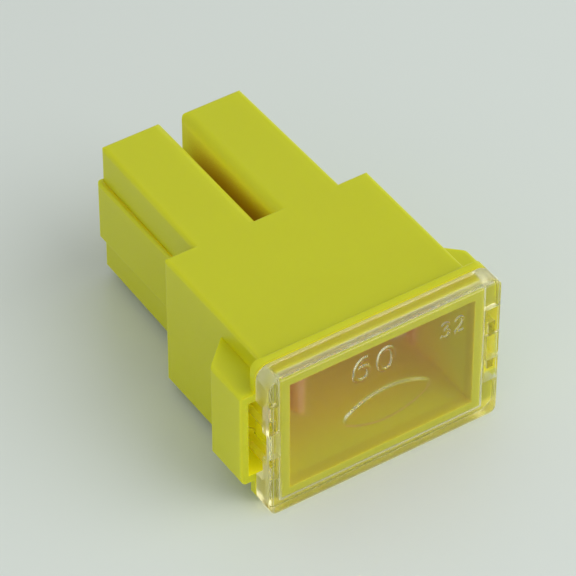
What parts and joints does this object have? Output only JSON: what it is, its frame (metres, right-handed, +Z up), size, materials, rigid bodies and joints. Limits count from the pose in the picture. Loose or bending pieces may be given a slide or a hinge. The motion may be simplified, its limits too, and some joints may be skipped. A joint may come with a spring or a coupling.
{
  "type": "automotive cartridge fuse",
  "caption": "Plug-in cartridge fuse with a hollow two-pronged yellow housing, a clear clip-on cover and a stamped fuse strip inside.",
  "frame": {"origin": "below the middle of the fuse, on the surface that it lies on", "axes": "+Y along the fuse from the cover to the prong tips, +X across the two prongs, +Z up from the broad side that it lies on"},
  "size_m": [0.0202, 0.0262, 0.0121],
  "materials": {
    "yellow_plastic": "satin",
    "clear_plastic": "gloss",
    "copper": "satin",
    "tin": "satin"
  },
  "bodies": {
    "root": {"housing": "yellow_plastic", "cover": "clear_plastic", "fuse_strip": "copper", "tin_pellet": "tin"}
  },
  "joints": []
}
